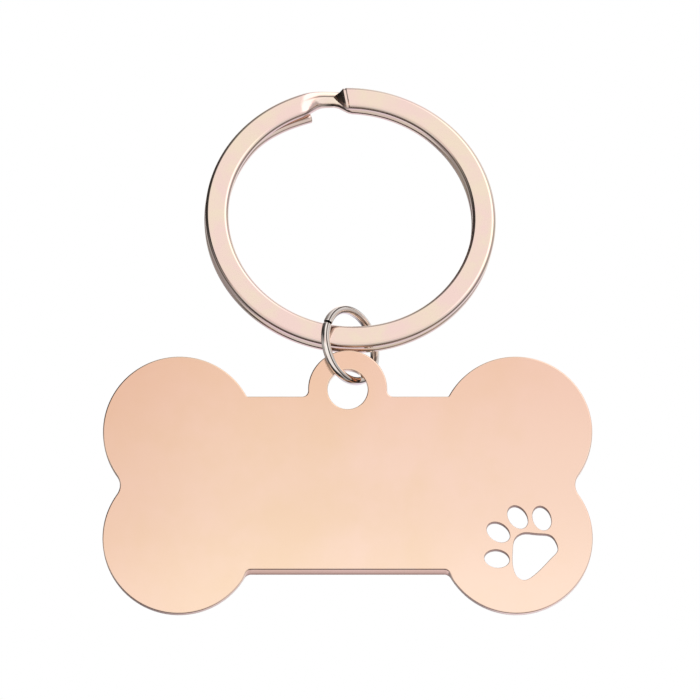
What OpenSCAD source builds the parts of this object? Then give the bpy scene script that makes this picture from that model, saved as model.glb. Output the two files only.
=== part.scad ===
// Bone-shaped pet id tag that hangs from a split ring on a small jump ring.
// The origin is the middle of the split ring, where the collar's ring passes.
// The plate hangs below it in the XZ plane, and its front faces -Y.

/* [Tag plate] */
// Overall length of the bone, lobe to lobe
plate_length = 50; // [42:0.5:65]
// Overall height of the bone at its lobes
plate_height = 26.6; // [24:0.2:29]
// Thickness of the sheet
plate_thickness = 1.3; // [0.8:0.1:1.8]
// Radius of the four lobes
lobe_radius = 7.8; // [7:0.1:9]
// Height of the straight bar between the lobes
bar_height = 18.3; // [14:0.1:20]
// Fillet in the waist between the two lobes of an end
waist_fillet = 1.7; // [0.5:0.1:3]
// Fillet where the lobes run into the bar's top edge
top_fillet = 0.2; // [0.1:0.05:1.5]
// Fillet where the lobes run into the bar's bottom edge
bottom_fillet = 0.8; // [0.1:0.05:1.5]

/* [Ear] */
// Radius of the hanging hole
hole_radius = 2.05; // [1.8:0.05:2.5]
// Metal left around the hanging hole
ear_rim = 2.0; // [1.5:0.1:3]
// Height of the hole's centre over the bar's top edge
hole_rise = 0.75; // [0.3:0.05:2]
// Fillet where the ear runs into the bar's top edge
ear_fillet = 0.6; // [0.2:0.05:1.5]

/* [Paw cut-out] */
// Width of the whole paw, which spaces its five openings
paw_width = 7.6; // [7.2:0.1:9]
// Length of one toe opening
toe_length = 2.58; // [2:0.02:2.7]
// Width of one toe opening
toe_width = 1.86; // [1.4:0.02:1.95]
// Width of the pad opening
pad_width = 4.6; // [3:0.1:4.9]
// Height of the pad opening
pad_height = 4.85; // [3.5:0.05:5.1]
// Distance of the paw's middle outwards from the lobe's centre
paw_out = 0.9; // [0:0.1:1.5]
// Distance of the paw's middle below the lobe's centre
paw_drop = 0.7; // [0:0.1:1.5]

/* [Split ring] */
// Outside diameter of the split ring
ring_diameter = 30; // [24:0.5:40]
// Width of the flat wire, across the ring
band_width = 2.4; // [1.8:0.1:3]
// Thickness of one turn of the flat wire
turn_thickness = 0.9; // [0.7:0.05:1.2]
// Gap between the two turns
turn_gap = 0.1; // [0.05:0.01:0.2]
// Tilt of the ring's front face upwards
ring_tilt = 15.8; // [10:0.2:20]
// Turn of the ring's front face to the right
ring_yaw = 3; // [0:0.5:6]

/* [Jump ring] */
// Diameter of the round wire
link_wire = 0.9; // [0.7:0.05:1.1]
// Room left inside the jump ring by the band and the ear
link_slack = 0.3; // [0.1:0.05:1]
// Gap between the wire's butted ends
link_seam = 0.12; // [0.05:0.01:0.3]
// Tilt of the jump ring's axis upwards
link_tilt = 6; // [0:1:10]
// Turn of the jump ring's axis to the right
link_yaw = 48; // [44:1:52]
// Clearance between the wire and the edge of the hanging hole
hole_clearance = 0.15; // [0.1:0.01:0.3]

/* [Hidden] */
$fn = 96;

rose_gold = [0.93, 0.77, 0.69];
rose_gold_wire = [0.88, 0.76, 0.72];

// How far cuts run past the faces that they open
cut_over = 1;
// How far the bend of the split ring runs into the turns that it joins
bend_lap = 0.5;
// How far the bend's faces lie inside the faces of the turns, so that they join cleanly
bend_inset = 0.01;
// Angle between two points of a rounded outline
arc_step = 5;

// Places of the lobes, from the plate's centre
lobe_x = plate_length / 2 - lobe_radius;
lobe_z = plate_height / 2 - lobe_radius;
bar_half = bar_height / 2;
ear_radius = hole_radius + ear_rim;
hole_z = bar_half + hole_rise;

// The split ring's two turns, measured from its middle plane
turn_radius = ring_diameter / 2 - band_width / 2;
ring_stack = 2 * turn_thickness + turn_gap;
layer_z = (turn_thickness + turn_gap) / 2;

// Angles around the split ring, anticlockwise from its right side, seen from the front
front_start = 91.3;
bend_low = 94;
bend_high = 111.5;
back_end = 113;

// The jump ring holds the band and the ear's rim inside its wire
link_inner = (band_width + ring_stack + ear_rim + link_slack) / 2;
link_radius = link_inner + link_wire / 2;
// Where its butt seam lies, and where its wire passes the hanging hole
link_seam_angle = 150;
link_hole_angle = 264;
// The band's middle lies off the jump ring's centre by this share of its inner radius
band_seat_share = 0.204;
// The wire lies off the hole's centre sideways by this share of how far it lies above
hole_lean_share = 0.27;

// Unit directions of the jump ring's own X and Y axes
link_x = [cos(link_yaw), sin(link_yaw), 0];
link_y = [-sin(link_yaw) * sin(link_tilt), cos(link_yaw) * sin(link_tilt), cos(link_tilt)];

// Middle of the band at the bottom of the split ring, and the jump ring hung under it
band_bottom = [0, -turn_radius * sin(ring_tilt) * cos(ring_yaw), -turn_radius * cos(ring_tilt)];
link_hang = band_bottom - band_seat_share * link_inner * (link_x + link_y);
link_centre = [0, link_hang[1], link_hang[2]];

// The wire passes the hole at a slant, so it sits lower than a straight pin would
function link_point(angle) = link_centre + link_radius * (cos(angle) * link_x + sin(angle) * link_y);
slant = link_yaw - link_tilt;
wire_half_chord = (plate_thickness * tan(slant) + link_wire / cos(slant)) / 2;
wire_rise = sqrt(hole_radius * hole_radius - wire_half_chord * wire_half_chord)
    - link_wire / 2 - hole_clearance;
hole_centre = link_point(link_hole_angle) - wire_rise * [hole_lean_share, 0, 1];
plate_centre = hole_centre - [0, 0, hole_z];

// Toe openings: place from the paw's middle in shares of its width, and the turn of each
toe_shares = [[-0.38, -0.19], [-0.36, 0.17], [-0.10, 0.375], [0.225, 0.36]];
toe_turns = [-8, -34, -57, -71];
// Place of the pad, and its outline in shares of its own width and height
pad_place_shares = [0.13, -0.145];
pad_outline_shares = [
    [-0.26, 0.478], [0.04, 0.464], [0.33, 0.433], [0.467, 0.29], [0.5, 0.1], [0.326, -0.093],
    [0.04, -0.37], [-0.2, -0.52], [-0.39, -0.455], [-0.485, -0.23], [-0.49, 0.08], [-0.446, 0.35]];
pad_steps = 4;

// Points of an arc round a centre, from one angle to another
function arc(centre, radius, from, to) =
    let (steps = max(2, ceil(abs(to - from) / arc_step)))
    [for (i = [0 : steps])
        let (angle = from + (to - from) * i / steps)
        centre + radius * [cos(angle), sin(angle)]];

// Direction from one point to another, in degrees
function heading(from, to) = atan2(to[1] - from[1], to[0] - from[0]);

// Centre of a fillet that lies against the bar's edge at height edge and against a round
function fillet_centre(middle, radius, side, edge, fillet) =
    let (z = edge + sign(edge) * fillet)
    [middle[0] + side * sqrt(pow(radius + fillet, 2) - pow(z - middle[1], 2)), z];

// Point at share t of the smooth closed curve's stretch i
function curve_point(points, i, t) =
    let (n = len(points), a = points[(i + n - 1) % n], b = points[i],
         c = points[(i + 1) % n], d = points[(i + 2) % n])
    ((2 * b) + (c - a) * t + (2 * a - 5 * b + 4 * c - d) * t * t
        + (3 * b - a - 3 * c + d) * t * t * t) / 2;

module place_ring() {
    rotate([90 - ring_tilt, 0, ring_yaw]) children();
}

module place_link() {
    translate(link_centre) rotate([90 - link_tilt, 0, link_yaw]) children();
}

// Outline of the right half, anticlockwise from the bar's bottom edge to the top of the ear
function half_outline() =
    let (low = [lobe_x, -lobe_z], high = [lobe_x, lobe_z], hole = [0, hole_z],
         low_fillet = fillet_centre(low, lobe_radius, -1, -bar_half, bottom_fillet),
         high_fillet = fillet_centre(high, lobe_radius, -1, bar_half, top_fillet),
         side_fillet = fillet_centre(hole, ear_radius, 1, bar_half, ear_fillet),
         waist = [lobe_x + sqrt(pow(lobe_radius + waist_fillet, 2) - lobe_z * lobe_z), 0],
         waist_turn = heading(low, waist), ear_turn = heading(hole, side_fillet),
         low_turn = heading(low, low_fillet), high_turn = heading(high, high_fillet))
    concat(
        arc(low_fillet, bottom_fillet, 90, low_turn + 180),
        arc(low, lobe_radius, low_turn, waist_turn),
        arc(waist, waist_fillet, 180 + waist_turn, 180 - waist_turn),
        arc(high, lobe_radius, -waist_turn, high_turn),
        arc(high_fillet, top_fillet, high_turn - 180, -90),
        arc(side_fillet, ear_fillet, 270, 180 + ear_turn),
        arc(hole, ear_radius, ear_turn, 90));

module bone_outline() {
    half = half_outline();
    last = len(half) - 1;
    polygon(concat(half, [for (i = [last - 1 : -1 : 0]) [-half[i][0], half[i][1]]]));
}

// Oval opening, drawn about its own middle
module toe_outline() {
    sides = 32;
    polygon([for (k = [0 : sides - 1])
        [toe_length * cos(360 * k / sides), toe_width * sin(360 * k / sides)] / 2]);
}

module pad_outline() {
    scaled = [for (p = pad_outline_shares) [p[0] * pad_width, p[1] * pad_height]];
    polygon([for (i = [0 : len(scaled) - 1], k = [0 : pad_steps - 1])
        curve_point(scaled, i, k / pad_steps)]);
}

module paw_outline() {
    translate([lobe_x + paw_out, -lobe_z - paw_drop]) {
        for (i = [0 : len(toe_shares) - 1])
            translate(toe_shares[i] * paw_width) rotate(toe_turns[i]) toe_outline();
        translate(pad_place_shares * paw_width) pad_outline();
    }
}

// Flat bone of polished sheet, with the ear on its top edge and the paw cut through its right end
module tag_plate() {
    color(rose_gold)
    translate(plate_centre) rotate([90, 0, 0]) translate([0, 0, -plate_thickness / 2])
        difference() {
            linear_extrude(plate_thickness) bone_outline();
            translate([0, hole_z, -cut_over])
                cylinder(h = plate_thickness + 2 * cut_over, r = hole_radius);
            translate([0, 0, -cut_over])
                linear_extrude(plate_thickness + 2 * cut_over) paw_outline();
        }
}

// One turn of the flat wire, from an angle, in the layer at height z
module turn(start, sweep, z) {
    rotate([0, 0, start]) rotate_extrude(angle = sweep)
        translate([turn_radius - band_width / 2, z - turn_thickness / 2])
            square([band_width, turn_thickness]);
}

// The bend that carries the wire from the front layer down to the back one
module turn_bend() {
    half_run = turn_radius * sin((bend_high - bend_low) / 2);
    half_t = turn_thickness / 2 - bend_inset;
    bend_width = band_width - 2 * bend_inset;
    intersection() {
        rotate_extrude()
            translate([turn_radius - bend_width / 2, -ring_stack])
                square([bend_width, 2 * ring_stack]);
        rotate([0, 0, (bend_high + bend_low) / 2]) rotate([90, 0, 90])
            linear_extrude(ring_diameter / 2 + cut_over)
                polygon([
                    [-half_run - bend_lap, -layer_z - half_t], [-half_run, -layer_z - half_t],
                    [half_run, layer_z - half_t], [half_run + bend_lap, layer_z - half_t],
                    [half_run + bend_lap, layer_z + half_t], [half_run, layer_z + half_t],
                    [-half_run, -layer_z + half_t], [-half_run - bend_lap, -layer_z + half_t]]);
    }
}

// Flat wire wound twice round: the front turn, the bend behind its first end, and the back turn
module split_ring() {
    color(rose_gold_wire) place_ring() {
        turn(bend_high, 360 + front_start - bend_high, layer_z);
        turn_bend();
        turn(back_end, 360 + bend_low - back_end, -layer_z);
    }
}

// Round wire bent to a ring, its ends butted with a thin seam
module jump_ring() {
    seam = link_seam / link_radius * 180 / PI;
    color(rose_gold_wire) place_link()
        rotate([0, 0, link_seam_angle + seam / 2]) rotate_extrude(angle = 360 - seam)
            translate([link_radius, 0]) circle(d = link_wire);
}

tag_plate();
split_ring();
jump_ring();
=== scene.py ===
import math

import bmesh
import bpy
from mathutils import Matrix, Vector


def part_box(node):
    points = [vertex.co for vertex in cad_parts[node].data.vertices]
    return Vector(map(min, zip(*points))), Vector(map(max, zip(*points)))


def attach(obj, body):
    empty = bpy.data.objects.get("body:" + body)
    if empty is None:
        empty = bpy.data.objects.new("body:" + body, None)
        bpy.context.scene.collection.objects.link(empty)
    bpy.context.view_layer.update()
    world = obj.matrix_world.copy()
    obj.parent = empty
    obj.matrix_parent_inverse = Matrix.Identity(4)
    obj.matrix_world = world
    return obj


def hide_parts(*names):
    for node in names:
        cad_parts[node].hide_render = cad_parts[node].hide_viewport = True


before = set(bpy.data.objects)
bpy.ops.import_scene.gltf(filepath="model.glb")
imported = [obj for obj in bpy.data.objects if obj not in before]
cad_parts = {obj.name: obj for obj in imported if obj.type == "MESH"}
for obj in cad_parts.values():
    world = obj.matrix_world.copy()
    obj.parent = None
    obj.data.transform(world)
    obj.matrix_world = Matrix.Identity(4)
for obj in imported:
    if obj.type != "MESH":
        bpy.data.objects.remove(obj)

mm = 0.001
slack = 0.02 * mm  # how far a point may lie off the row that it belongs to
oneSpot = 0.001 * mm  # points closer than this are the same one
facingIt = 0.9  # cosine over which a face looks along an axis
squareOn = 0.999  # and over which it is one of the truly flat ones
capSides = 8  # of a wire's faces, only its cut ends have more corners than this
scene = bpy.context.scene
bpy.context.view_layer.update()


# small helpers used by every piece


def clearSelection():
    if bpy.context.mode != "OBJECT":
        bpy.ops.object.mode_set(mode="OBJECT")
    bpy.ops.object.select_all(action="DESELECT")


def editMesh(piece):
    return bmesh.from_edit_mesh(piece.data)


def pick(piece, kind, wanted):
    # selects the verts, edges or faces that the test accepts, and nothing else
    bpy.ops.mesh.select_mode(type=kind[:-1].upper())
    bpy.ops.mesh.select_all(action="DESELECT")
    mesh = editMesh(piece)
    for part in getattr(mesh, kind):
        if wanted(part):
            part.select_set(True)
    mesh.select_flush_mode()
    bmesh.update_edit_mesh(piece.data)


def isCap(face):
    return len(face.verts) > capSides


def closeEnds(piece):
    # puts a face across each open end of the wire
    pick(piece, "edges", lambda edge: len(edge.link_faces) == 1)
    bpy.ops.mesh.edge_face_add()


def faceOutwards():
    bpy.ops.mesh.select_all(action="SELECT")
    bpy.ops.mesh.normals_make_consistent(inside=False)


def middleOf(part):
    return sum((v.co for v in part.verts), Vector()) / len(part.verts)


def smoothStep(t):
    t = min(1, max(0, t))
    return t * t * (3 - 2 * t)


def settle(piece, place, turns):
    # the piece is drawn at the world's middle, then carried to its place for good
    bpy.ops.object.mode_set(mode="OBJECT")
    piece.location = place
    piece.rotation_euler = [math.radians(turn) for turn in turns]
    bpy.ops.object.transform_apply(location=True, rotation=True, scale=True)
    piece.data.name = piece.name


def weighNormals(piece):
    # lets the large flat faces keep their own normals, and blends the rest into them
    bpy.ops.object.mode_set(mode="OBJECT")
    bpy.ops.object.modifier_add(type="WEIGHTED_NORMAL")
    weighted = piece.modifiers[-1]
    weighted.use_face_influence = True
    weighted.keep_sharp = True
    weighted.weight = 100  # the larger face wins outright
    bpy.ops.object.modifier_apply(modifier=weighted.name)


def markRims(piece):
    # stores which points lie inside a rounded edge, for the wear and the painted edge shade in the finish
    mesh = editMesh(piece)
    layer = mesh.verts.layers.float.get("rim") or mesh.verts.layers.float.new("rim")
    for vert in mesh.verts:
        if all(face.select for face in vert.link_faces):
            vert[layer] = 1.0
    bmesh.update_edit_mesh(piece.data)


def markCutsAndShade(piece, shareOf):
    # stores how far each point is bare or unpolished metal, or carries painted shade and painted
    # reflection lines
    mesh = editMesh(piece)
    layer = mesh.verts.layers.float.new("cut")
    for face in mesh.faces:
        for vert in face.verts:
            vert[layer] = max(vert[layer], shareOf(face, vert))
    bmesh.update_edit_mesh(piece.data)


# node helpers for the sky and the finishes


def feed(tree, node, values):
    # each input takes another node's output, or else a plain value
    for label, value in values.items():
        if hasattr(value, "links"):
            tree.links.new(value, node.inputs[label])
        else:
            node.inputs[label].default_value = value


def mathNode(tree, operation, *values):
    node = tree.nodes.new("ShaderNodeMath")
    node.operation = operation
    feed(tree, node, dict(enumerate(values)))  # its inputs all have the same label
    return node.outputs[0]


def noiseNode(tree, place, scale, detail=2.0, rough=0.5, twist=0.0):
    node = tree.nodes.new("ShaderNodeTexNoise")
    feed(tree, node, {
        "Vector": place, "Scale": scale, "Detail": detail, "Roughness": rough, "Distortion": twist})
    return node.outputs["Fac"]


def rangeNode(tree, value, low, high, toLow=0.0, toHigh=1.0):
    node = tree.nodes.new("ShaderNodeMapRange")
    feed(tree, node, {
        "Value": value, "From Min": low, "From Max": high, "To Min": toLow, "To Max": toHigh})
    return node.outputs[0]


def mixNode(tree, factor, a, b, blend="MIX"):
    node = tree.nodes.new("ShaderNodeMix")
    node.data_type = "RGBA"
    node.blend_type = blend
    feed(tree, node, {"Factor": factor, "A": a, "B": b})
    return node.outputs["Result"]


def pointMask(tree, name):
    # one of the masks that the piece's own points carry
    node = tree.nodes.new("ShaderNodeAttribute")
    node.attribute_name = name
    return node.outputs["Fac"]


# camera, light and floor

shot = {
    "lens": 500,  # mm, long enough to keep the tag nearly flat on
    "sensor": 36,
    "pictureWidth": 700,  # px
    "plateWidth": 489.6,  # px that the plate spans in the picture
    "elevation": -10.3,  # degrees, a little below the tag
    "origin": (350.2, 218.4),  # px of the split ring's middle
    "clip": (0.01, 20),  # m, the nearest and farthest that it sees
}


def setCamera():
    # one picture pixel at the plate, and the point of that plane in the picture's middle
    low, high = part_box("tag_plate")
    pixel = (high.x - low.x) / shot["plateWidth"]
    angle = math.radians(shot["elevation"])
    back = Vector((0, -math.cos(angle), math.sin(angle)))
    up = Vector((0, math.sin(angle), math.cos(angle)))
    middle = shot["pictureWidth"] / 2
    right, down = middle - shot["origin"][0], middle - shot["origin"][1]
    plateDepth = Vector((0, (low.y + high.y) / 2, (low.z + high.z) / 2)).dot(back)
    away = pixel * shot["pictureWidth"] * shot["lens"] / shot["sensor"]
    place = Vector((right * pixel, 0, 0)) - up * down * pixel + back * (away + plateDepth)
    bpy.ops.object.camera_add(location=place, rotation=(math.pi / 2 - angle, 0, 0))
    camera = bpy.context.object
    camera.name = "camera"
    camera.data.lens = shot["lens"]
    camera.data.sensor_width = shot["sensor"]
    camera.data.clip_start, camera.data.clip_end = shot["clip"]
    scene.camera = camera


studio = {
    "frontLevels": [  # height of the direction, then the colour that metal sees there
        (-1.00, (0.90, 0.90, 0.90)), (-0.45, (0.92, 0.91, 0.90)), (-0.10, (1.00, 1.04, 1.05)),
        (0.08, (1.10, 1.17, 1.18)), (0.165, (1.00, 1.00, 1.00)), (0.26, (0.95, 0.87, 0.86)),
        (0.45, (0.93, 0.93, 0.93)), (0.70, (0.98, 0.98, 0.97)), (1.00, (1.15, 1.15, 1.15))],
    "backLevels": [
        (-1.00, (0.70, 0.66, 0.76)), (-0.60, (0.80, 0.76, 0.88)), (-0.15, (0.86, 0.83, 0.92)),
        (0.10, (0.95, 0.95, 0.96)), (1.00, (1.15, 1.15, 1.15))],
    "sideLevels": [  # angle round the line of sight, from the right, then brightness
        (0, 0.46), (20, 0.58), (45, 0.90), (72, 0.95), (95, 0.50), (115, 0.20), (133, 0.05),
        (154, 0.04), (164, 0.24), (180, 0.42), (196, 0.36), (212, 0.12), (235, 0.04), (275, 0.03),
        (290, 0.14), (308, 0.42), (345, 0.50), (360, 0.46)],
    "sideReach": [  # the same angle, then how far the shade reaches in front and behind
        (0, 0.42, 0.42), (60, 0.42, 0.42), (105, 0.62, 0.62), (128, 0.86, 0.86), (156, 0.86, 0.86),
        (186, 0.66, 0.86), (205, 0.54, 0.66), (240, 0.50, 0.60), (285, 0.50, 0.62), (320, 0.42, 0.50),
        (360, 0.42, 0.42)],
    "sideEdge": 0.14,
    "frontToBack": (-0.2, 0.3),  # where the front levels turn into the back ones
    "reachTurn": (-0.01, 0.01),  # where the reach in front turns into the one behind
    "spots": [  # towards, cosines where it starts and is full, and times what colour
        ((0.61, -0.51, 0.61), 0.86, 0.95, (1.6, 1.6, 1.6)),
        ((-0.35, 0.93, -0.12), 0.93, 0.98, (0.36, 0.36, 0.36)),
        ((-0.50, -0.85, 0.18), 0.895, 0.945, (0.92, 0.85, 0.84))],
    "headroom": 2,  # a ramp stops at 1, so it holds its levels divided by this
    "floorDrop": 0.30,  # m below the middle of the ring
    "floorSize": 8,
    "floorColour": (0.86, 0.85, 0.84, 1),
    "floorRoughness": 0.7,
    "boxes": [  # place, size and brightness of each soft box
        ((-0.65, -0.55, 0.75), 0.60, 1.5), ((0.70, -0.45, 0.80), 0.60, 1.5)],
}


def levelRamp(tree, stops):
    ramp = tree.nodes.new("ShaderNodeValToRGB")
    ramp.color_ramp.interpolation = "EASE"
    while len(ramp.color_ramp.elements) < len(stops):
        ramp.color_ramp.elements.new(0.5)  # each is given its own place below
    for element, (position, colour) in zip(ramp.color_ramp.elements, stops):
        element.position = position
        element.color = (*(level / studio["headroom"] for level in colour), 1)
    return ramp


def heightStops(stops):
    return [((height + 1) / 2, colour) for height, colour in stops]


def turnStops(stops):
    # a row's second level, where it has one, goes into the ramp's green
    return [(turn / 360, (level, back[0] if back else level, level)) for turn, level, *back in stops]


def addSpot(tree, direction, colour, spot):
    # a brighter or darker patch of the tent
    towards, start, full, level = spot
    near = tree.nodes.new("ShaderNodeVectorMath")
    near.operation = "DOT_PRODUCT"
    near.inputs[1].default_value = Vector(towards).normalized()
    tree.links.new(direction, near.inputs[0])
    amount = rangeNode(tree, near.outputs["Value"], start, full)
    amount.node.interpolation_type = "SMOOTHSTEP"
    return mixNode(tree, amount, colour, (*level, 1), blend="MULTIPLY")


def setSky():
    # a white tent that polished metal sees as soft levels, with the dark room at its sides
    world = bpy.data.worlds.new("studioSky")
    world.use_nodes = True
    tree = world.node_tree
    tree.nodes.clear()
    link = tree.links.new
    place = tree.nodes.new("ShaderNodeTexCoord")
    split = tree.nodes.new("ShaderNodeSeparateXYZ")
    link(place.outputs["Generated"], split.inputs[0])
    height = rangeNode(tree, split.outputs["Z"], -1, 1)
    front = levelRamp(tree, heightStops(studio["frontLevels"]))
    back = levelRamp(tree, heightStops(studio["backLevels"]))
    link(height, front.inputs[0])
    link(height, back.inputs[0])
    behind = rangeNode(tree, split.outputs["Y"], *studio["frontToBack"])
    tent = mixNode(tree, behind, front.outputs[0], back.outputs[0])
    for spot in studio["spots"]:
        tent = addSpot(tree, place.outputs["Generated"], tent, spot)
    turn = mathNode(tree, "ARCTAN2", split.outputs["Z"], split.outputs["X"])
    turn = mathNode(tree, "FRACT", mathNode(tree, "DIVIDE", turn, 2 * math.pi))
    room = levelRamp(tree, turnStops(studio["sideLevels"]))
    link(turn, room.inputs[0])
    ramp = levelRamp(tree, turnStops(studio["sideReach"]))
    link(turn, ramp.inputs[0])
    reaches = tree.nodes.new("ShaderNodeSeparateColor")
    link(ramp.outputs[0], reaches.inputs[0])
    reach = rangeNode(
        tree, split.outputs["Y"], *studio["reachTurn"], reaches.outputs[0], reaches.outputs[1])
    reach = mathNode(tree, "MULTIPLY", reach, studio["headroom"])
    inside = mathNode(tree, "SUBTRACT", reach, mathNode(tree, "ABSOLUTE", split.outputs["Y"]))
    aside = rangeNode(tree, inside, 0, studio["sideEdge"])
    aside.node.interpolation_type = "SMOOTHSTEP"
    seen = mixNode(tree, aside, tent, room.outputs[0])
    gloss = tree.nodes.new("ShaderNodeBackground")
    gloss.inputs["Strength"].default_value = studio["headroom"]
    link(seen, gloss.inputs["Color"])
    plain = tree.nodes.new("ShaderNodeBackground")
    plain.inputs["Color"].default_value = (1, 1, 1, 1)
    path = tree.nodes.new("ShaderNodeLightPath")
    mix = tree.nodes.new("ShaderNodeMixShader")
    link(path.outputs["Is Glossy Ray"], mix.inputs[0])
    link(plain.outputs[0], mix.inputs[1])
    link(gloss.outputs[0], mix.inputs[2])
    out = tree.nodes.new("ShaderNodeOutputWorld")
    link(mix.outputs[0], out.inputs["Surface"])
    scene.world = world


def setBoxes():
    for number, (place, size, level) in enumerate(studio["boxes"]):
        bpy.ops.object.light_add(type="AREA", location=place)
        box = bpy.context.object
        box.name = f"softBox{number + 1}"
        box.rotation_euler = (-Vector(place)).to_track_quat("-Z", "Y").to_euler()
        box.data.size = size
        box.data.energy = level * math.pi * size * size
        box.visible_camera = False
        box.visible_glossy = False  # the tent's own levels stand for it in the metal


def paleFloor():
    paint = bpy.data.materials.new("paleFloor")
    paint.use_nodes = True
    shader = paint.node_tree.nodes["Principled BSDF"]
    shader.inputs["Base Color"].default_value = studio["floorColour"]
    shader.inputs["Roughness"].default_value = studio["floorRoughness"]
    clearSelection()
    bpy.ops.mesh.primitive_plane_add(size=studio["floorSize"], location=(0, 0, -studio["floorDrop"]))
    floor = bpy.context.object
    floor.name = "floor"
    floor.data.materials.append(paint)
    floor.visible_glossy = False


scene.view_settings.view_transform = "Standard"
setCamera()
setSky()
setBoxes()
paleFloor()
print("stage set")


# shared finishes

patterns = {  # a pattern's size goes first, and the two noise levels it lies between go last
    "hazeLevels": (0.35, 0.70),
    "hazeSpeck": (22.0, 0.30, 0.70),  # times finer than the haze
    "scratchRuns": [(17, 9000, 260), (-38, 11000, 330), (74, 8000, 220)],  # turn, across, along
    "scratchLevels": (0.70, 0.78),
    "scratchPatch": (170, 0.42, 0.62),
    "wearPatch": (240, 4.0, 0.6, 0.40, 0.66),  # with its detail and roughness in the middle
    "wearSpeck": (2600, 2.0, 0.5, 0.30, 0.60),
    "mottle": (8.0, 0.35),  # times finer than the tone's drift, and how strong
    "toneLevels": (0.50, 0.85),
}


def newGroup(name, inputs, outputs):
    group = bpy.data.node_groups.new(name, "ShaderNodeTree")
    for label, kind, value in inputs:
        socket = group.interface.new_socket(name=label, in_out="INPUT", socket_type=kind)
        socket.default_value = value
    for label, kind in outputs:
        group.interface.new_socket(name=label, in_out="OUTPUT", socket_type=kind)
    return group, group.nodes.new("NodeGroupInput"), group.nodes.new("NodeGroupOutput")


def buildHaze():
    # cloudy haze left by buffing and fingers, with its grain counted per metre
    group, given, made = newGroup(
        "buffingHaze",
        [("Place", "NodeSocketVector", (0, 0, 0)), ("Grain", "NodeSocketFloat", 300.0)],
        [("Haze", "NodeSocketFloat"), ("Fine", "NodeSocketFloat")],
    )
    cloud = noiseNode(
        group, given.outputs["Place"], given.outputs["Grain"], detail=3.0, rough=0.55, twist=0.4)
    times, low, high = patterns["hazeSpeck"]
    finer = mathNode(group, "MULTIPLY", given.outputs["Grain"], times)
    speck = noiseNode(group, given.outputs["Place"], finer, rough=0.6)
    group.links.new(rangeNode(group, cloud, *patterns["hazeLevels"]), made.inputs["Haze"])
    group.links.new(rangeNode(group, speck, low, high), made.inputs["Fine"])
    return group


def buildScratches():
    # thin hairlines in a few directions, each broken up along its run
    group, given, made = newGroup(
        "hairScratches",
        [("Place", "NodeSocketVector", (0, 0, 0)), ("Amount", "NodeSocketFloat", 0.5)],
        [("Lines", "NodeSocketFloat")],
    )
    total = None
    for turn, across, along in patterns["scratchRuns"]:
        turned = group.nodes.new("ShaderNodeMapping")
        turned.inputs["Rotation"].default_value = (0, math.radians(turn), 0)
        turned.inputs["Scale"].default_value = (along, along, across)
        group.links.new(given.outputs["Place"], turned.inputs["Vector"])
        streak = noiseNode(group, turned.outputs[0], 1, detail=1.0, rough=0.4)
        line = rangeNode(group, streak, *patterns["scratchLevels"])
        total = line if total is None else mathNode(group, "MAXIMUM", total, line)
    size, low, high = patterns["scratchPatch"]
    patch = rangeNode(group, noiseNode(group, given.outputs["Place"], size), low, high)
    shown = mathNode(group, "MULTIPLY", total, patch)
    shown = mathNode(group, "MULTIPLY", shown, given.outputs["Amount"])
    group.links.new(shown, made.inputs["Lines"])
    return group


def buildRimWear():
    # plating rubbed thin along the rounded edges, in uneven stretches
    group, given, made = newGroup(
        "rimWear",
        [("Place", "NodeSocketVector", (0, 0, 0)), ("Rim", "NodeSocketFloat", 0.0),
         ("Reach", "NodeSocketFloat", 0.5)],
        [("Wear", "NodeSocketFloat")],
    )
    worn = given.outputs["Rim"]
    for size, detail, rough, low, high in (patterns["wearPatch"], patterns["wearSpeck"]):
        mask = noiseNode(group, given.outputs["Place"], size, detail, rough)
        worn = mathNode(group, "MULTIPLY", worn, rangeNode(group, mask, low, high))
    group.links.new(mathNode(group, "MULTIPLY", worn, given.outputs["Reach"]), made.inputs["Wear"])
    return group


def buildTone():
    # slow drift of the plating between its pinker and its yellower tone
    group, given, made = newGroup(
        "platingTone",
        [("Place", "NodeSocketVector", (0, 0, 0)), ("Scale", "NodeSocketFloat", 90.0),
         ("Lean", "NodeSocketFloat", 0.0),
         ("Pink", "NodeSocketColor", (1, 1, 1, 1)), ("Gold", "NodeSocketColor", (1, 1, 1, 1))],
        [("Color", "NodeSocketColor")],
    )
    drift = noiseNode(group, given.outputs["Place"], given.outputs["Scale"], twist=0.6)
    times, strength = patterns["mottle"]
    finer = mathNode(group, "MULTIPLY", given.outputs["Scale"], times)
    mottle = noiseNode(group, given.outputs["Place"], finer, detail=3.0, rough=0.6)
    drift = mathNode(group, "ADD", drift, mathNode(group, "MULTIPLY", mottle, strength))
    split = group.nodes.new("ShaderNodeSeparateXYZ")
    group.links.new(given.outputs["Place"], split.inputs[0])
    leaning = mathNode(group, "MULTIPLY", split.outputs["X"], given.outputs["Lean"])
    drift = mathNode(group, "SUBTRACT", drift, leaning)  # pinker towards the right
    share = rangeNode(group, drift, *patterns["toneLevels"])
    tone = mixNode(group, share, given.outputs["Pink"], given.outputs["Gold"])
    group.links.new(tone, made.inputs["Color"])
    return group


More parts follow.
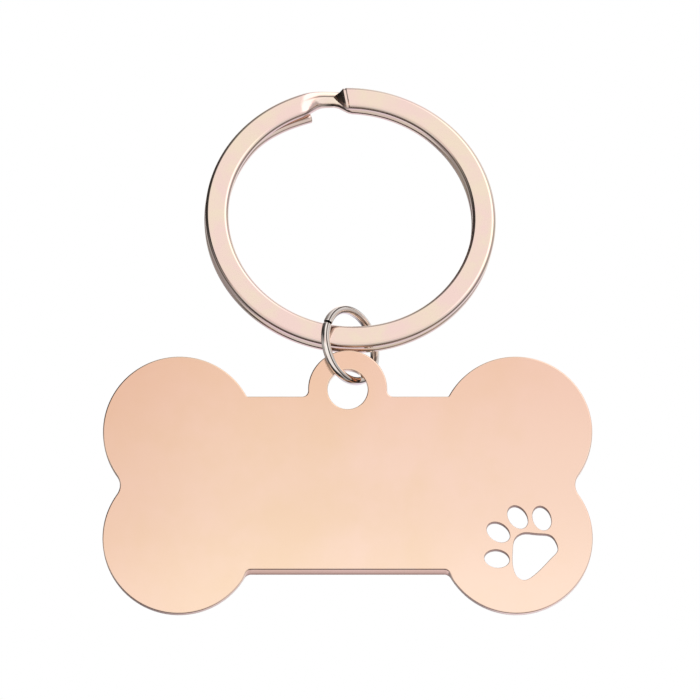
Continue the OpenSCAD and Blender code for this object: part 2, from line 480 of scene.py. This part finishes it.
def buildWaves():
    # shallow waves of rolled and polished sheet, and its slight bow, in millimetres
    group, given, made = newGroup(
        "polishWaves",
        [("Place", "NodeSocketVector", (0, 0, 0)), ("Scale", "NodeSocketFloat", 120.0),
         ("Height", "NodeSocketFloat", 0.003), ("Bow", "NodeSocketFloat", 0.0),
         ("Side Bow", "NodeSocketFloat", 0.0), ("Middle", "NodeSocketFloat", 0.0)],
        [("Height", "NodeSocketFloat")],
    )
    wide = noiseNode(group, given.outputs["Place"], given.outputs["Scale"], detail=1.0, rough=0.3)
    wide = mathNode(group, "MULTIPLY", wide, given.outputs["Height"])
    split = group.nodes.new("ShaderNodeSeparateXYZ")
    group.links.new(given.outputs["Place"], split.inputs[0])
    up = mathNode(group, "SUBTRACT", split.outputs["Z"], given.outputs["Middle"])
    for off, bow in ((up, given.outputs["Bow"]), (split.outputs["X"], given.outputs["Side Bow"])):
        off = mathNode(group, "DIVIDE", off, mm)
        fall = mathNode(group, "MULTIPLY", mathNode(group, "MULTIPLY", off, off), bow)
        wide = mathNode(group, "SUBTRACT", wide, fall)
    group.links.new(wide, made.inputs["Height"])
    return group


groups = {
    "haze": buildHaze(),
    "scratches": buildScratches(),
    "rimWear": buildRimWear(),
    "tone": buildTone(),
    "waves": buildWaves(),
}


def useGroup(tree, name, place, values):
    node = tree.nodes.new("ShaderNodeGroup")
    node.node_tree = groups[name]
    feed(tree, node, {"Place": place, **values})
    return node.outputs


def platedFinish(name, look):
    # polished steel with a thin rose gold plating
    finish = bpy.data.materials.new(name)
    finish.use_nodes = True
    tree = finish.node_tree
    place = tree.nodes.new("ShaderNodeTexCoord").outputs["Object"]
    rim, cut = pointMask(tree, "rim"), pointMask(tree, "cut")
    tone = useGroup(tree, "tone", place, {
        "Scale": look["toneScale"], "Lean": look["toneLean"], "Pink": look["pink"],
        "Gold": look["gold"]})["Color"]
    haze = useGroup(tree, "haze", place, {"Grain": look["hazeGrain"]})
    lines = useGroup(tree, "scratches", place, {"Amount": look["scratches"]})["Lines"]
    wear = useGroup(tree, "rimWear", place, {"Rim": rim, "Reach": look["wear"]})["Wear"]
    colour = mixNode(tree, wear, tone, look["bareSteel"])
    # the rounded edges are painted darker, a painted shade that stands in for their dark reflections
    if "paintedRimShade" in look:
        shade = mathNode(tree, "MULTIPLY", rim, look["paintedRimShade"])
        colour = mixNode(tree, shade, colour, look["paintedRimShadeColour"])
    # bare metal, painted shade and painted reflection lines all take this dark colour
    colour = mixNode(tree, cut, colour, look["cutColour"])
    rough = mathNode(
        tree, "MULTIPLY_ADD", haze["Haze"], look["hazeRoughness"], look["roughness"])
    for mask, amount in (
            (haze["Fine"], look["fineRoughness"]), (lines, look["lineRoughness"]),
            (wear, look["wearRoughness"]), (cut, look["cutRoughness"])):
        rough = mathNode(tree, "ADD", rough, mathNode(tree, "MULTIPLY", mask, amount))
    upBow, sideBow, middle = look["bow"]
    waves = useGroup(tree, "waves", place, {
        "Scale": look["waveScale"], "Height": look["waveHeight"], "Bow": upBow,
        "Side Bow": sideBow, "Middle": middle})["Height"]
    soft = tree.nodes.new("ShaderNodeBump")
    feed(tree, soft, {"Distance": mm, "Height": waves})
    sharp = tree.nodes.new("ShaderNodeBump")
    sharp.invert = True
    feed(tree, sharp, {"Distance": look["lineDepth"], "Height": lines, "Normal": soft.outputs[0]})
    feed(tree, tree.nodes["Principled BSDF"], {
        "Base Color": colour, "Metallic": 1.0, "Roughness": rough, "Normal": sharp.outputs[0]})
    return finish


# tag plate

tagPlate = {
    "halfHeight": 13.3 * mm,  # of the bone, without its ear
    "lobeRadius": 7.8 * mm,
    "barHeight": 18.3 * mm,
    "waistFillet": 1.7 * mm,
    "topFillet": 0.2 * mm,
    "bottomFillet": 0.8 * mm,
    "holeRadius": 2.05 * mm,
    "earRim": 2.0 * mm,
    "earFillet": 0.6 * mm,
    "arcStep": 3,  # degrees between two points of an arc
    "holePoints": 120,
    "holeReach": 1.05,  # times its radius, to catch its wall and rounded edges
    "pawWidth": 7.6 * mm,
    "pawOut": 0.9 * mm,
    "pawDrop": 0.7 * mm,
    "pawReach": 0.62,  # of its width, to catch all of it and nothing else
    "toeSize": (2.58 * mm, 1.86 * mm),
    "padSize": (4.6 * mm, 4.85 * mm),
    "toePoints": 56,
    "toePlaces": [(-0.38, -0.19), (-0.36, 0.17), (-0.10, 0.375), (0.225, 0.36)],
    "toeTurns": [-8, -34, -57, -71],
    "padPlace": (0.13, -0.145),
    "padShape": [
        (-0.26, 0.478), (0.04, 0.464), (0.33, 0.433), (0.467, 0.29), (0.5, 0.1), (0.326, -0.093),
        (0.04, -0.37), (-0.2, -0.52), (-0.39, -0.455), (-0.485, -0.23), (-0.49, 0.08), (-0.446, 0.35)],
    "padSteps": 6,
    "rimRound": 0.14 * mm,
    "holeRound": 0.12 * mm,
    "cutRound": 0.07 * mm,
    "roundSteps": {"rimRound": 4, "holeRound": 4, "cutRound": 2},
    "sharpFrom": 57,  # degrees between two faces that meet in an edge to round
    "flatWithin": 0.05,  # degrees between the triangles of one flat side
    "wallTilt": 0.05,  # how far a wall's normal may lean to the front or the back
    "rimTilt": 0.5,  # and that of a rounded edge that still belongs to the wall
    "shearBand": 0.55 * mm,  # the punched edge is rougher along its back, and painted darker there as shade
    "shearBack": 0.95,
    "shearTop": 0.40,
    "shearShadeFade": (8 * mm, 22 * mm, 0.35),  # the painted shade on it fades towards the right, to this
    "leftEdgeShade": (-8 * mm, -20 * mm, 0.75),  # the rest of it is painted darker towards the left, as painted shade
    "barSlant": 0.42 * mm,  # the bar's lower edge is ground back at the front
    "slantFade": 0.6 * mm,  # and runs out within this drop of its end fillets
    "finish": {
        "pink": (0.940, 0.670, 0.535, 1), "gold": (0.910, 0.645, 0.468, 1), "toneScale": 45,
        "toneLean": 7, "bareSteel": (0.80, 0.74, 0.70, 1), "roughness": 0.07,
        "hazeRoughness": 0.03, "fineRoughness": 0.015, "lineRoughness": 0.10,
        "wearRoughness": 0.16, "wear": 0.35, "hazeGrain": 110, "scratches": 0.5,
        "lineDepth": 0.0006 * mm, "waveScale": 110, "waveHeight": 0.004,
        "bow": (0.0014, 0.0014, -28.8 * mm),  # up and down, sideways, and its middle's height
        # the colour of the bare punched walls, also used for the painted shade along the outer edge
        "cutColour": (0.40, 0.24, 0.17, 1), "cutRoughness": 0.28},
}


def turnTo(start, end):
    return math.degrees(math.atan2(end[1] - start[1], end[0] - start[0]))


def onCircle(centre, radius, angle):
    return Vector((
        centre[0] + radius * math.cos(math.radians(angle)),
        centre[1] + radius * math.sin(math.radians(angle)), 0))


def filletCentre(middle, radius, side, edge, fillet):
    up = edge + math.copysign(fillet, edge)
    return (middle[0] + side * math.sqrt((radius + fillet) ** 2 - (up - middle[1]) ** 2), up)


def spinArc(centre, radius, start, end):
    # carries the line on to the arc's start, then turns its last point round the centre
    bpy.ops.mesh.extrude_region_move()
    here = editPoint()
    bpy.ops.transform.translate(value=onCircle(centre, radius, start) - here)
    steps = max(2, math.ceil(abs(end - start) / tagPlate["arcStep"]))
    bpy.ops.mesh.spin(
        steps=steps, angle=math.radians(start - end), center=(centre[0], centre[1], 0), axis=(0, 0, 1)
    )


def editPoint():
    mesh = editMesh(bpy.context.object)
    return [vert.co.copy() for vert in mesh.verts if vert.select][0]


def drawOutline(half, lobe, holeUp):
    # right half of the bone, from the middle of its lower edge up to the top of the ear
    low, high, hole = (lobe[0], -lobe[1]), lobe, (0, holeUp)
    radius, ear = tagPlate["lobeRadius"], tagPlate["holeRadius"] + tagPlate["earRim"]
    waistRound = tagPlate["waistFillet"]
    lowFillet = filletCentre(low, radius, -1, -half, tagPlate["bottomFillet"])
    highFillet = filletCentre(high, radius, -1, half, tagPlate["topFillet"])
    sideFillet = filletCentre(hole, ear, 1, half, tagPlate["earFillet"])
    waist = (lobe[0] + math.sqrt((radius + waistRound) ** 2 - lobe[1] ** 2), 0)
    waistTurn, earTurn = turnTo(low, waist), turnTo(hole, sideFillet)
    lowTurn, highTurn = turnTo(low, lowFillet), turnTo(high, highFillet)
    spinArc(lowFillet, tagPlate["bottomFillet"], 90, lowTurn + 180)
    spinArc(low, radius, lowTurn, waistTurn)
    spinArc(waist, waistRound, 180 + waistTurn, 180 - waistTurn)
    spinArc(high, radius, -waistTurn, highTurn)
    spinArc(highFillet, tagPlate["topFillet"], highTurn - 180, -90)
    spinArc(sideFillet, tagPlate["earFillet"], 270, 180 + earTurn)
    spinArc(hole, ear, earTurn, 90)


def drawPaw(middle):
    # four oval toes and the pad, as rings of points ready to be left open
    long, short = tagPlate["toeSize"]
    for (right, up), turn in zip(tagPlate["toePlaces"], tagPlate["toeTurns"]):
        place = (middle[0] + right * tagPlate["pawWidth"], middle[1] + up * tagPlate["pawWidth"], 0)
        bpy.ops.mesh.primitive_circle_add(
            vertices=tagPlate["toePoints"], radius=long / 2, location=place)
        bpy.ops.transform.resize(value=(1, short / long, 1), center_override=place)
        swing = math.radians(turn)
        bpy.ops.transform.rotate(value=-swing, orient_axis="Z", center_override=place)
    count = len(tagPlate["padShape"]) * tagPlate["padSteps"]
    bpy.ops.mesh.primitive_circle_add(vertices=count, radius=long)
    mesh = editMesh(bpy.context.object)
    loop = [vert for vert in mesh.verts if vert.select]
    wide, tall = tagPlate["padSize"]
    share = tagPlate["padPlace"]
    corner = Vector((
        middle[0] + share[0] * tagPlate["pawWidth"], middle[1] + share[1] * tagPlate["pawWidth"], 0))
    points = [Vector((x * wide, y * tall, 0)) + corner for x, y in tagPlate["padShape"]]
    start = loop[0]
    ordered = [start]
    edge = start.link_edges[0]
    while len(ordered) < len(loop):
        following = edge.other_vert(ordered[-1])
        edge = [e for e in following.link_edges if e is not edge][0]
        ordered.append(following)
    for number, vert in enumerate(ordered):
        index, part = divmod(number, tagPlate["padSteps"])
        vert.co = curvePoint(points, index, part / tagPlate["padSteps"])
    bmesh.update_edit_mesh(bpy.context.object.data)


def curvePoint(points, index, t):
    # smooth closed curve through the points
    count = len(points)
    a, b, c, d = (points[(index + step) % count] for step in (-1, 0, 1, 2))
    return (2 * b + (c - a) * t + (2 * a - 5 * b + 4 * c - d) * t * t
            + (3 * b - a - 3 * c + d) * t * t * t) / 2


def makeTagPlate():
    low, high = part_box("tag_plate")
    length, thickness = high.x - low.x, high.y - low.y
    radius = tagPlate["lobeRadius"]
    half = tagPlate["barHeight"] / 2
    earTop = tagPlate["holeRadius"] + tagPlate["earRim"]
    holeZ = high.z - earTop  # the ear's top is the plate's highest point
    plateZ = low.z + tagPlate["halfHeight"]
    lobe = (length / 2 - radius, tagPlate["halfHeight"] - radius)
    holeUp = holeZ - plateZ
    pawMiddle = (lobe[0] + tagPlate["pawOut"], -lobe[1] - tagPlate["pawDrop"], 0)
    clearSelection()
    bpy.ops.mesh.primitive_plane_add(size=mm)  # merged to the point that starts the outline
    piece = bpy.context.object
    piece.name = "tag_plate_polished"
    bpy.ops.object.mode_set(mode="EDIT")
    bpy.ops.mesh.select_all(action="SELECT")
    bpy.ops.mesh.merge(type="CENTER")
    bpy.ops.transform.translate(value=(0, -half, 0))
    drawOutline(half, lobe, holeUp)
    bpy.ops.mesh.select_all(action="SELECT")
    bpy.ops.mesh.duplicate()
    bpy.ops.transform.resize(value=(-1, 1, 1), center_override=(0, 0, 0))
    bpy.ops.mesh.select_all(action="SELECT")
    bpy.ops.mesh.remove_doubles(threshold=oneSpot)
    bpy.ops.mesh.primitive_circle_add(
        vertices=tagPlate["holePoints"], radius=tagPlate["holeRadius"], location=(0, holeUp, 0))
    drawPaw(pawMiddle)
    bpy.ops.mesh.select_all(action="SELECT")
    bpy.ops.mesh.fill(use_beauty=True)
    bpy.ops.mesh.select_all(action="SELECT")
    for rise in (tagPlate["shearBand"], thickness - tagPlate["shearBand"]):
        bpy.ops.mesh.extrude_region_move(TRANSFORM_OT_translate={"value": (0, 0, rise)})
    bpy.ops.mesh.select_all(action="SELECT")
    bpy.ops.transform.translate(value=(0, 0, -thickness / 2))
    faceOutwards()
    slantBar(piece, half, lobe, thickness)
    pick(piece, "faces", lambda face: abs(face.normal.z) > facingIt)
    flat = math.radians(tagPlate["flatWithin"])
    bpy.ops.mesh.dissolve_limited(angle_limit=flat)  # one clean face a side
    paw, hole = Vector(pawMiddle), Vector((0, holeUp, 0))
    roundEdges(piece, paw, hole)
    markCutsAndShade(piece, lambda face, vert: shearOf(face, vert, paw, hole, thickness))
    settle(piece, Vector(((low.x + high.x) / 2, (low.y + high.y) / 2, plateZ)), (90, 0, 0))
    finishFaces(piece)
    piece.data.materials.append(platedFinish("polishedPlate", tagPlate["finish"]))
    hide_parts("tag_plate")
    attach(piece, "tag")


def shearOf(face, vert, paw, hole, thickness):
    # the paw's walls are dark and rough all over; the outer edge is rougher along its back and painted
    # darker there and towards the left as shade; the hole's walls stay polished
    if inPaw(face, paw):
        return float(abs(face.normal.z) < tagPlate["wallTilt"])
    if inHole(vert.co, hole) or abs(face.normal.z) > tagPlate["rimTilt"]:
        return 0.0
    right, left = tagPlate["shearShadeFade"], tagPlate["leftEdgeShade"]
    faded = smoothStep((vert.co.x - right[0]) / (right[1] - right[0]))
    # painted shade along the outer edge, darker towards the left
    shadedLeft = left[2] * smoothStep((vert.co.x - left[0]) / (left[1] - left[0]))
    pastBand = vert.co.z + thickness / 2 - tagPlate["shearBand"]
    if pastBand > slack:
        return shadedLeft
    rough = tagPlate["shearTop"] if pastBand > -slack else 1.0
    return max(shadedLeft, rough * (tagPlate["shearBack"] + (right[2] - tagPlate["shearBack"]) * faded))


def slantBar(piece, half, lobe, thickness):
    # lifts the front line of the bar's lower edge, less and less into its two end fillets
    fade, run = tagPlate["slantFade"], lobe[0] - tagPlate["lobeRadius"] / 2
    pick(piece, "faces", lambda face: face.normal.z > facingIt)
    bpy.ops.mesh.delete(type="FACE")
    pick(piece, "verts", lambda vert: (
        abs(vert.co.x) < run and -half - fade < vert.co.y < -half + slack))
    mesh = editMesh(piece)
    for vert in mesh.verts:
        if vert.select:
            forward = vert.co.z / thickness + 0.5
            lift = tagPlate["barSlant"] * forward
            vert.co.y += lift * smoothStep(1 + (vert.co.y + half) / fade)
    bmesh.update_edit_mesh(piece.data)
    pick(piece, "edges", lambda edge: len(edge.link_faces) == 1)
    bpy.ops.mesh.fill(use_beauty=True)
    faceOutwards()


def inPaw(part, paw):
    return (middleOf(part) - paw).xy.length < tagPlate["pawWidth"] * tagPlate["pawReach"]


def inHole(place, hole):
    return (place - hole).xy.length < tagPlate["holeRadius"] * tagPlate["holeReach"]


def roundEdges(piece, paw, hole):
    # the outer rim, the hanging hole and the paw each get their own rounding
    def zoneOf(edge):
        if inPaw(edge, paw):
            return "cutRound"
        return "holeRound" if inHole(middleOf(edge), hole) else "rimRound"

    def isRim(edge):
        faces = edge.link_faces
        sharp = math.radians(tagPlate["sharpFrom"])
        return len(faces) == 2 and faces[0].normal.angle(faces[1].normal) > sharp

    for zone, segments in tagPlate["roundSteps"].items():
        pick(piece, "edges", lambda edge: isRim(edge) and zoneOf(edge) == zone)
        bpy.ops.mesh.bevel(
            offset=tagPlate[zone], segments=segments, profile=0.5, affect="EDGES", loop_slide=False
        )
        markRims(piece)


def finishFaces(piece):
    # smooth shading that keeps the flat faces truly flat
    bpy.ops.object.mode_set(mode="EDIT")
    bpy.ops.mesh.select_all(action="SELECT")
    bpy.ops.mesh.faces_shade_smooth()
    bpy.ops.mesh.mod_weighted_strength(set=True, face_strength="WEAK")
    pick(piece, "faces", lambda face: abs(face.normal.y) > squareOn)
    bpy.ops.mesh.mod_weighted_strength(set=True, face_strength="STRONG")
    weighNormals(piece)


makeTagPlate()
print("tag plate done")


# split ring

splitRing = {
    "diameter": 30 * mm,
    "wide": 2.4 * mm,
    "thick": 0.9 * mm,
    "gap": 0.1 * mm,
    "corner": 0.30 * mm,
    "cornerSteps": 5,
    "cornerProfile": 0.36,  # rolled wire has flatter corners than a full round
    "tilt": 15.8,
    "yaw": 3,
    "firstEnd": 450.3,  # degrees round the ring, anticlockwise from its right side
    "bendHigh": 110.5,  # degrees between which it bends back behind its first end
    "bendLow": 94,
    "bendSkew": 2,  # degrees that its outer side lags behind, and its inner side leads
    "lastEnd": -252.5,
    "step": 2,
    "backShift": -0.04 * mm,  # the back turn lies a little to the left
    "tipInset": 0.42 * mm,  # and its end peeks inside the front turn
    "tipSink": 0.10 * mm,
    "tipRun": 34,  # degrees over which it turns in
    "flatCuts": 9,
    "endSkew": 0.18 * mm,  # its first end is cut off at a slant
    "nip": [  # run, shares of width and thickness, lift and dulling with painted shade, from burr to drawn tip
        (0.10 * mm, 0.97, 0.86, 0.0, 0.0), (0.22 * mm, 1.0, 0.985, 0.0, 0.0),
        (0.30 * mm, 0.70, 0.76, 0.0, 0.9), (0.60 * mm, 0.34, 0.36, 0.16 * mm, 1.0)],
    "pinchFrom": (111.5, 100),  # degrees between which the bend narrows
    "pinchTo": (96, 88),  # and between which it widens again
    "pinchShare": 0.42,  # share of its width that it loses on its inner side
    "pinchFold": 0.18 * mm,  # the face folds back inside this line, with a fine crease painted dark as shade
    "pinchSlope": 0.42,
    "pinchCrease": 0.05 * mm,
    "endRound": 0.12 * mm,
    "endSteps": 2,
    "wallTilt": 0.02,  # how far a wall's normal may lean to the front or the back
    "tipShadeLine": 0.7,  # how dark the painted shade line is along the edge of its peeking end, where it tucks into the front turn
    "edgeCore": 0.15,  # share of the corner's size that the painted dark reflection line on the edges keeps from the wall
    "lineMiddle": 250,  # degrees round, where the painted dark reflection line is fullest
    "lineFrom": (0.05, 0.45),  # cosines from there, where it starts and is full
    "finish": {
        "pink": (0.920, 0.690, 0.635, 1), "gold": (0.905, 0.745, 0.600, 1), "toneScale": 330,
        "toneLean": 0, "bareSteel": (0.82, 0.78, 0.75, 1), "roughness": 0.07,
        "hazeRoughness": 0.04, "fineRoughness": 0.02, "lineRoughness": 0.10,
        "wearRoughness": 0.14, "wear": 0.4, "hazeGrain": 260, "scratches": 0.6,
        "lineDepth": 0.0006 * mm, "waveScale": 260, "waveHeight": 0.003, "bow": (0, 0, 0),
        # painted shade on the rounded edges, standing in for their dark reflections, and its colour
        "paintedRimShade": 0.25, "paintedRimShadeColour": (0.1, 0.07, 0.06, 1),
        # near black, for the painted shade lines, the painted reflection line and the unpolished tip
        "cutColour": (0.10, 0.065, 0.05, 1), "cutRoughness": 0.08},
}


def makeSplitRing():
    ring = splitRing
    middle = ring["diameter"] / 2 - ring["wide"] / 2
    clearSelection()
    bpy.ops.mesh.primitive_plane_add(size=1, location=(middle, 0, 0), rotation=(math.pi / 2, 0, 0))
    piece = bpy.context.object
    piece.name = "split_ring_band"
    piece.scale = (ring["wide"], ring["thick"], 1)
    bpy.ops.object.transform_apply(location=True, rotation=True, scale=True)
    bpy.ops.object.mode_set(mode="EDIT")
    bpy.ops.mesh.select_all(action="SELECT")
    bpy.ops.mesh.bevel(
        offset=ring["corner"], segments=ring["cornerSteps"], profile=ring["cornerProfile"],
        affect="VERTICES")
    pick(piece, "edges", lambda edge: edge.calc_length() > ring["thick"] / 3)  # the flat sides
    bpy.ops.mesh.subdivide(number_cuts=ring["flatCuts"])
    around = len(editMesh(piece).verts)
    pick(piece, "faces", lambda face: True)
    start = math.radians(ring["firstEnd"])
    bpy.ops.transform.rotate(value=-start, orient_axis="Z", center_override=(0, 0, 0))
    sweep = ring["firstEnd"] - ring["lastEnd"]
    steps = round(sweep / ring["step"])
    bpy.ops.mesh.spin(steps=steps, angle=math.radians(sweep), center=(0, 0, 0), axis=(0, 0, 1))
    closeEnds(piece)
    layTurns(piece, around, steps, sweep)
    faceOutwards()
    shapeFirstEnd(piece)
    finishBand(piece)
    settle(piece, (0, 0, 0), (90 - ring["tilt"], 0, ring["yaw"]))
    piece.data.materials.append(platedFinish("polishedFlatWire", ring["finish"]))
    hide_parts("split_ring")
    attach(piece, "collar_ring")


def layTurns(piece, around, steps, sweep):
    # the wire runs flat in front, bends back behind its own first end and runs flat again
    ring = splitRing
    half = (ring["thick"] + ring["gap"]) / 2
    middle = ring["diameter"] / 2 - ring["wide"] / 2
    mesh = editMesh(piece)
    mesh.verts.ensure_lookup_table()
    rims, cuts = (mesh.verts.layers.float.new(name) for name in ("rim", "cut"))
    for vert in mesh.verts:
        turn = ring["firstEnd"] - (vert.index // around) * sweep / steps
        tip = smoothStep(1 - (turn - ring["lastEnd"]) / ring["tipRun"])
        out = Vector((math.cos(math.radians(turn)), math.sin(math.radians(turn)), 0))
        across, up = vert.co.dot(out) - middle, vert.co.z
        fromSide, fromFace = ring["wide"] / 2 - abs(across), ring["thick"] / 2 - abs(up)
        vert[rims] = float(min(fromSide, fromFace) > oneSpot and max(fromSide, fromFace) < ring["corner"])
        skewed = turn + ring["bendSkew"] * 2 * across / ring["wide"]
        back = 1 - smoothStep((skewed - ring["bendLow"]) / (ring["bendHigh"] - ring["bendLow"]))
        onFold = up > 0 and abs(across - ring["pinchFold"]) < slack
        onTip = up > 0 and abs(across + ring["wide"] / 2 - ring["corner"]) < slack
        onShadedEdge = up > 0 and ring["edgeCore"] * ring["corner"] < fromSide < fromFace < ring["corner"]
        # painted shade: a dark line along the pinch's crease, and one along the edge of the peeking tip
        vert[cuts] = pinchOf(turn) * onFold + ring["tipShadeLine"] * tip * onTip
        # painted reflection: a dark line along the front edges that face downwards
        line = onShadedEdge * (1 - back) * paintedEdgeShade(turn if across > 0 else turn + 180)
        vert[cuts] = max(vert[cuts], line)
        endSlant = Vector()
        if vert.index < around:
            endSlant = Vector((-out.y, out.x, 0)) * ring["endSkew"] * 2 * across / ring["wide"]
        across, up = pinchBend(pinchOf(turn), across, up, onFold)
        vert.co = out * (middle + across - ring["tipInset"] * tip) + endSlant
        vert.co.x += ring["backShift"] * back
        vert.co.z = up + half * (1 - 2 * back) - ring["tipSink"] * tip
    bmesh.update_edit_mesh(piece.data)


def paintedEdgeShade(facing):
    # paints the front edges dark on the sides that face downwards, a painted reflection
    ring = splitRing
    under = math.cos(math.radians(facing - ring["lineMiddle"]))
    start, full = ring["lineFrom"]
    return smoothStep((under - start) / (full - start))


def pinchOf(turn):
    high, full = splitRing["pinchFrom"]
    still, low = splitRing["pinchTo"]
    return smoothStep((high - turn) / (high - full)) * smoothStep((turn - low) / (still - low))


def pinchBend(pinch, across, up, onFold):
    # narrows the bend on its inner side and folds its face back there
    ring = splitRing
    edge, kept = ring["wide"] / 2, 1 - ring["pinchShare"] * pinch
    inward = max(0, ring["pinchFold"] - across) * kept
    up -= pinch * (ring["pinchSlope"] * inward + onFold * ring["pinchCrease"])
    return edge - (edge - across) * kept, up


def shapeFirstEnd(piece):
    # the front turn's end is nipped off at a slant, narrowing towards the bend behind it
    ring = splitRing
    pick(piece, "faces", lambda face: isCap(face) and middleOf(face).z > 0)
    bpy.ops.mesh.mark_sharp()
    turn = math.radians(ring["firstEnd"])
    out = Vector((math.cos(turn), math.sin(turn), 0))
    for run, wide, thick, lift, dullShade in ring["nip"]:
        along = Vector((-out.y, out.x, 0)) * run + out * lift
        bpy.ops.mesh.extrude_region_move(TRANSFORM_OT_translate={"value": along})
        face = [face for face in editMesh(piece).faces if face.select][0]
        low = min(vert.co.z for vert in face.verts)
        centre = middleOf(face)
        bpy.ops.transform.resize(value=(1, wide, thick), center_override=(centre.x, centre.y, low))
        bpy.ops.mesh.mark_sharp()
        dullAndShadeTip(piece, dullShade)


def dullAndShadeTip(piece, dullShade):
    # the sheared tip was never polished, and is painted dark as shade
    mesh = editMesh(piece)
    cuts = mesh.verts.layers.float["cut"]
    for vert in mesh.verts:
        if vert.select:
            vert[cuts] = dullShade
    bmesh.update_edit_mesh(piece.data)


def finishBand(piece):
    bpy.ops.mesh.select_all(action="SELECT")
    bpy.ops.mesh.faces_shade_smooth()
    bpy.ops.mesh.mod_weighted_strength(set=True, face_strength="WEAK")
    pick(piece, "faces", lambda face: (
        abs(face.normal.z) < splitRing["wallTilt"] and len(face.verts) == 4))
    bpy.ops.mesh.mod_weighted_strength(set=True, face_strength="MEDIUM")
    pick(piece, "faces", lambda face: abs(face.normal.z) > squareOn)
    bpy.ops.mesh.mod_weighted_strength(set=True, face_strength="STRONG")
    pick(piece, "faces", isCap)
    bpy.ops.mesh.bevel(
        offset=splitRing["endRound"], segments=splitRing["endSteps"], profile=0.5, affect="EDGES")
    markRims(piece)
    weighNormals(piece)


makeSplitRing()
print("split ring done")


# jump ring

jumpRing = {
    "wire": 0.9 * mm,
    "inside": 6.6 * mm,  # clear across its opening
    "seam": 0.24 * mm,
    "seamAngle": 150,
    "tilt": 6,
    "yaw": 48,
    "sides": 40,
    "steps": 180,
    "endRound": 0.09 * mm,
    "endSteps": 2,
    "paintedStreaks": [  # painted dark reflection lines along the wire: angle round it and half width
        (-42, 24), (60, 14), (126, 13), (212, 24)],
    "paintedStreakEdge": 1.5,  # how sharply they end
    "finish": {
        "pink": (0.965, 0.865, 0.825, 1), "gold": (0.955, 0.875, 0.805, 1), "toneScale": 260,
        "toneLean": 0, "bareSteel": (0.80, 0.78, 0.76, 1), "roughness": 0.05,
        "hazeRoughness": 0.03, "fineRoughness": 0.02, "lineRoughness": 0.10,
        "wearRoughness": 0.14, "wear": 0.5, "hazeGrain": 500, "scratches": 0.5,
        "lineDepth": 0.0005 * mm, "waveScale": 500, "waveHeight": 0.001, "bow": (0, 0, 0),
        # near black, for the cut ends and the painted reflection lines
        "cutColour": (0.050, 0.036, 0.030, 1), "cutRoughness": 0.10},
}


def makeJumpRing():
    link = jumpRing
    radius = (link["inside"] + link["wire"]) / 2
    low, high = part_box("jump_ring")
    clearSelection()
    bpy.ops.mesh.primitive_circle_add(
        vertices=link["sides"], radius=link["wire"] / 2, fill_type="NGON",
        location=(radius, 0, 0), rotation=(math.pi / 2, 0, 0)
    )
    piece = bpy.context.object
    piece.name = "jump_ring_wire"
    bpy.ops.object.transform_apply(location=True, rotation=True, scale=True)
    bpy.ops.object.mode_set(mode="EDIT")
    bpy.ops.mesh.select_all(action="SELECT")
    gap = link["seam"] / radius
    start = math.radians(link["seamAngle"]) - gap / 2
    bpy.ops.transform.rotate(value=-start, orient_axis="Z", center_override=(0, 0, 0))
    bpy.ops.mesh.spin(steps=link["steps"], angle=2 * math.pi - gap, center=(0, 0, 0), axis=(0, 0, 1))
    closeEnds(piece)
    faceOutwards()
    bpy.ops.mesh.faces_shade_smooth()
    pick(piece, "faces", isCap)
    bpy.ops.mesh.bevel(
        offset=link["endRound"], segments=link["endSteps"], profile=0.5, affect="EDGES")
    markRims(piece)
    # the cut ends, and the painted reflection lines along the wire
    markCutsAndShade(piece, lambda face, vert: max(float(isCap(face)), paintedStreakOf(vert, radius)))
    settle(piece, (low + high) / 2, (90 - link["tilt"], 0, link["yaw"]))
    piece.data.materials.append(platedFinish("polishedRoundWire", link["finish"]))
    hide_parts("jump_ring")
    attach(piece, "link")


def paintedStreakOf(vert, radius):
    # how strongly a point lies in one of the painted reflection lines
    angle = math.degrees(math.atan2(vert.co.z, vert.co.xy.length - radius))
    depth = 0.0
    for middle, half in jumpRing["paintedStreaks"]:
        off = abs((angle - middle + 180) % 360 - 180)
        depth = max(depth, smoothStep(jumpRing["paintedStreakEdge"] * (1 - off / half)))
    return depth


makeJumpRing()
print("jump ring done")
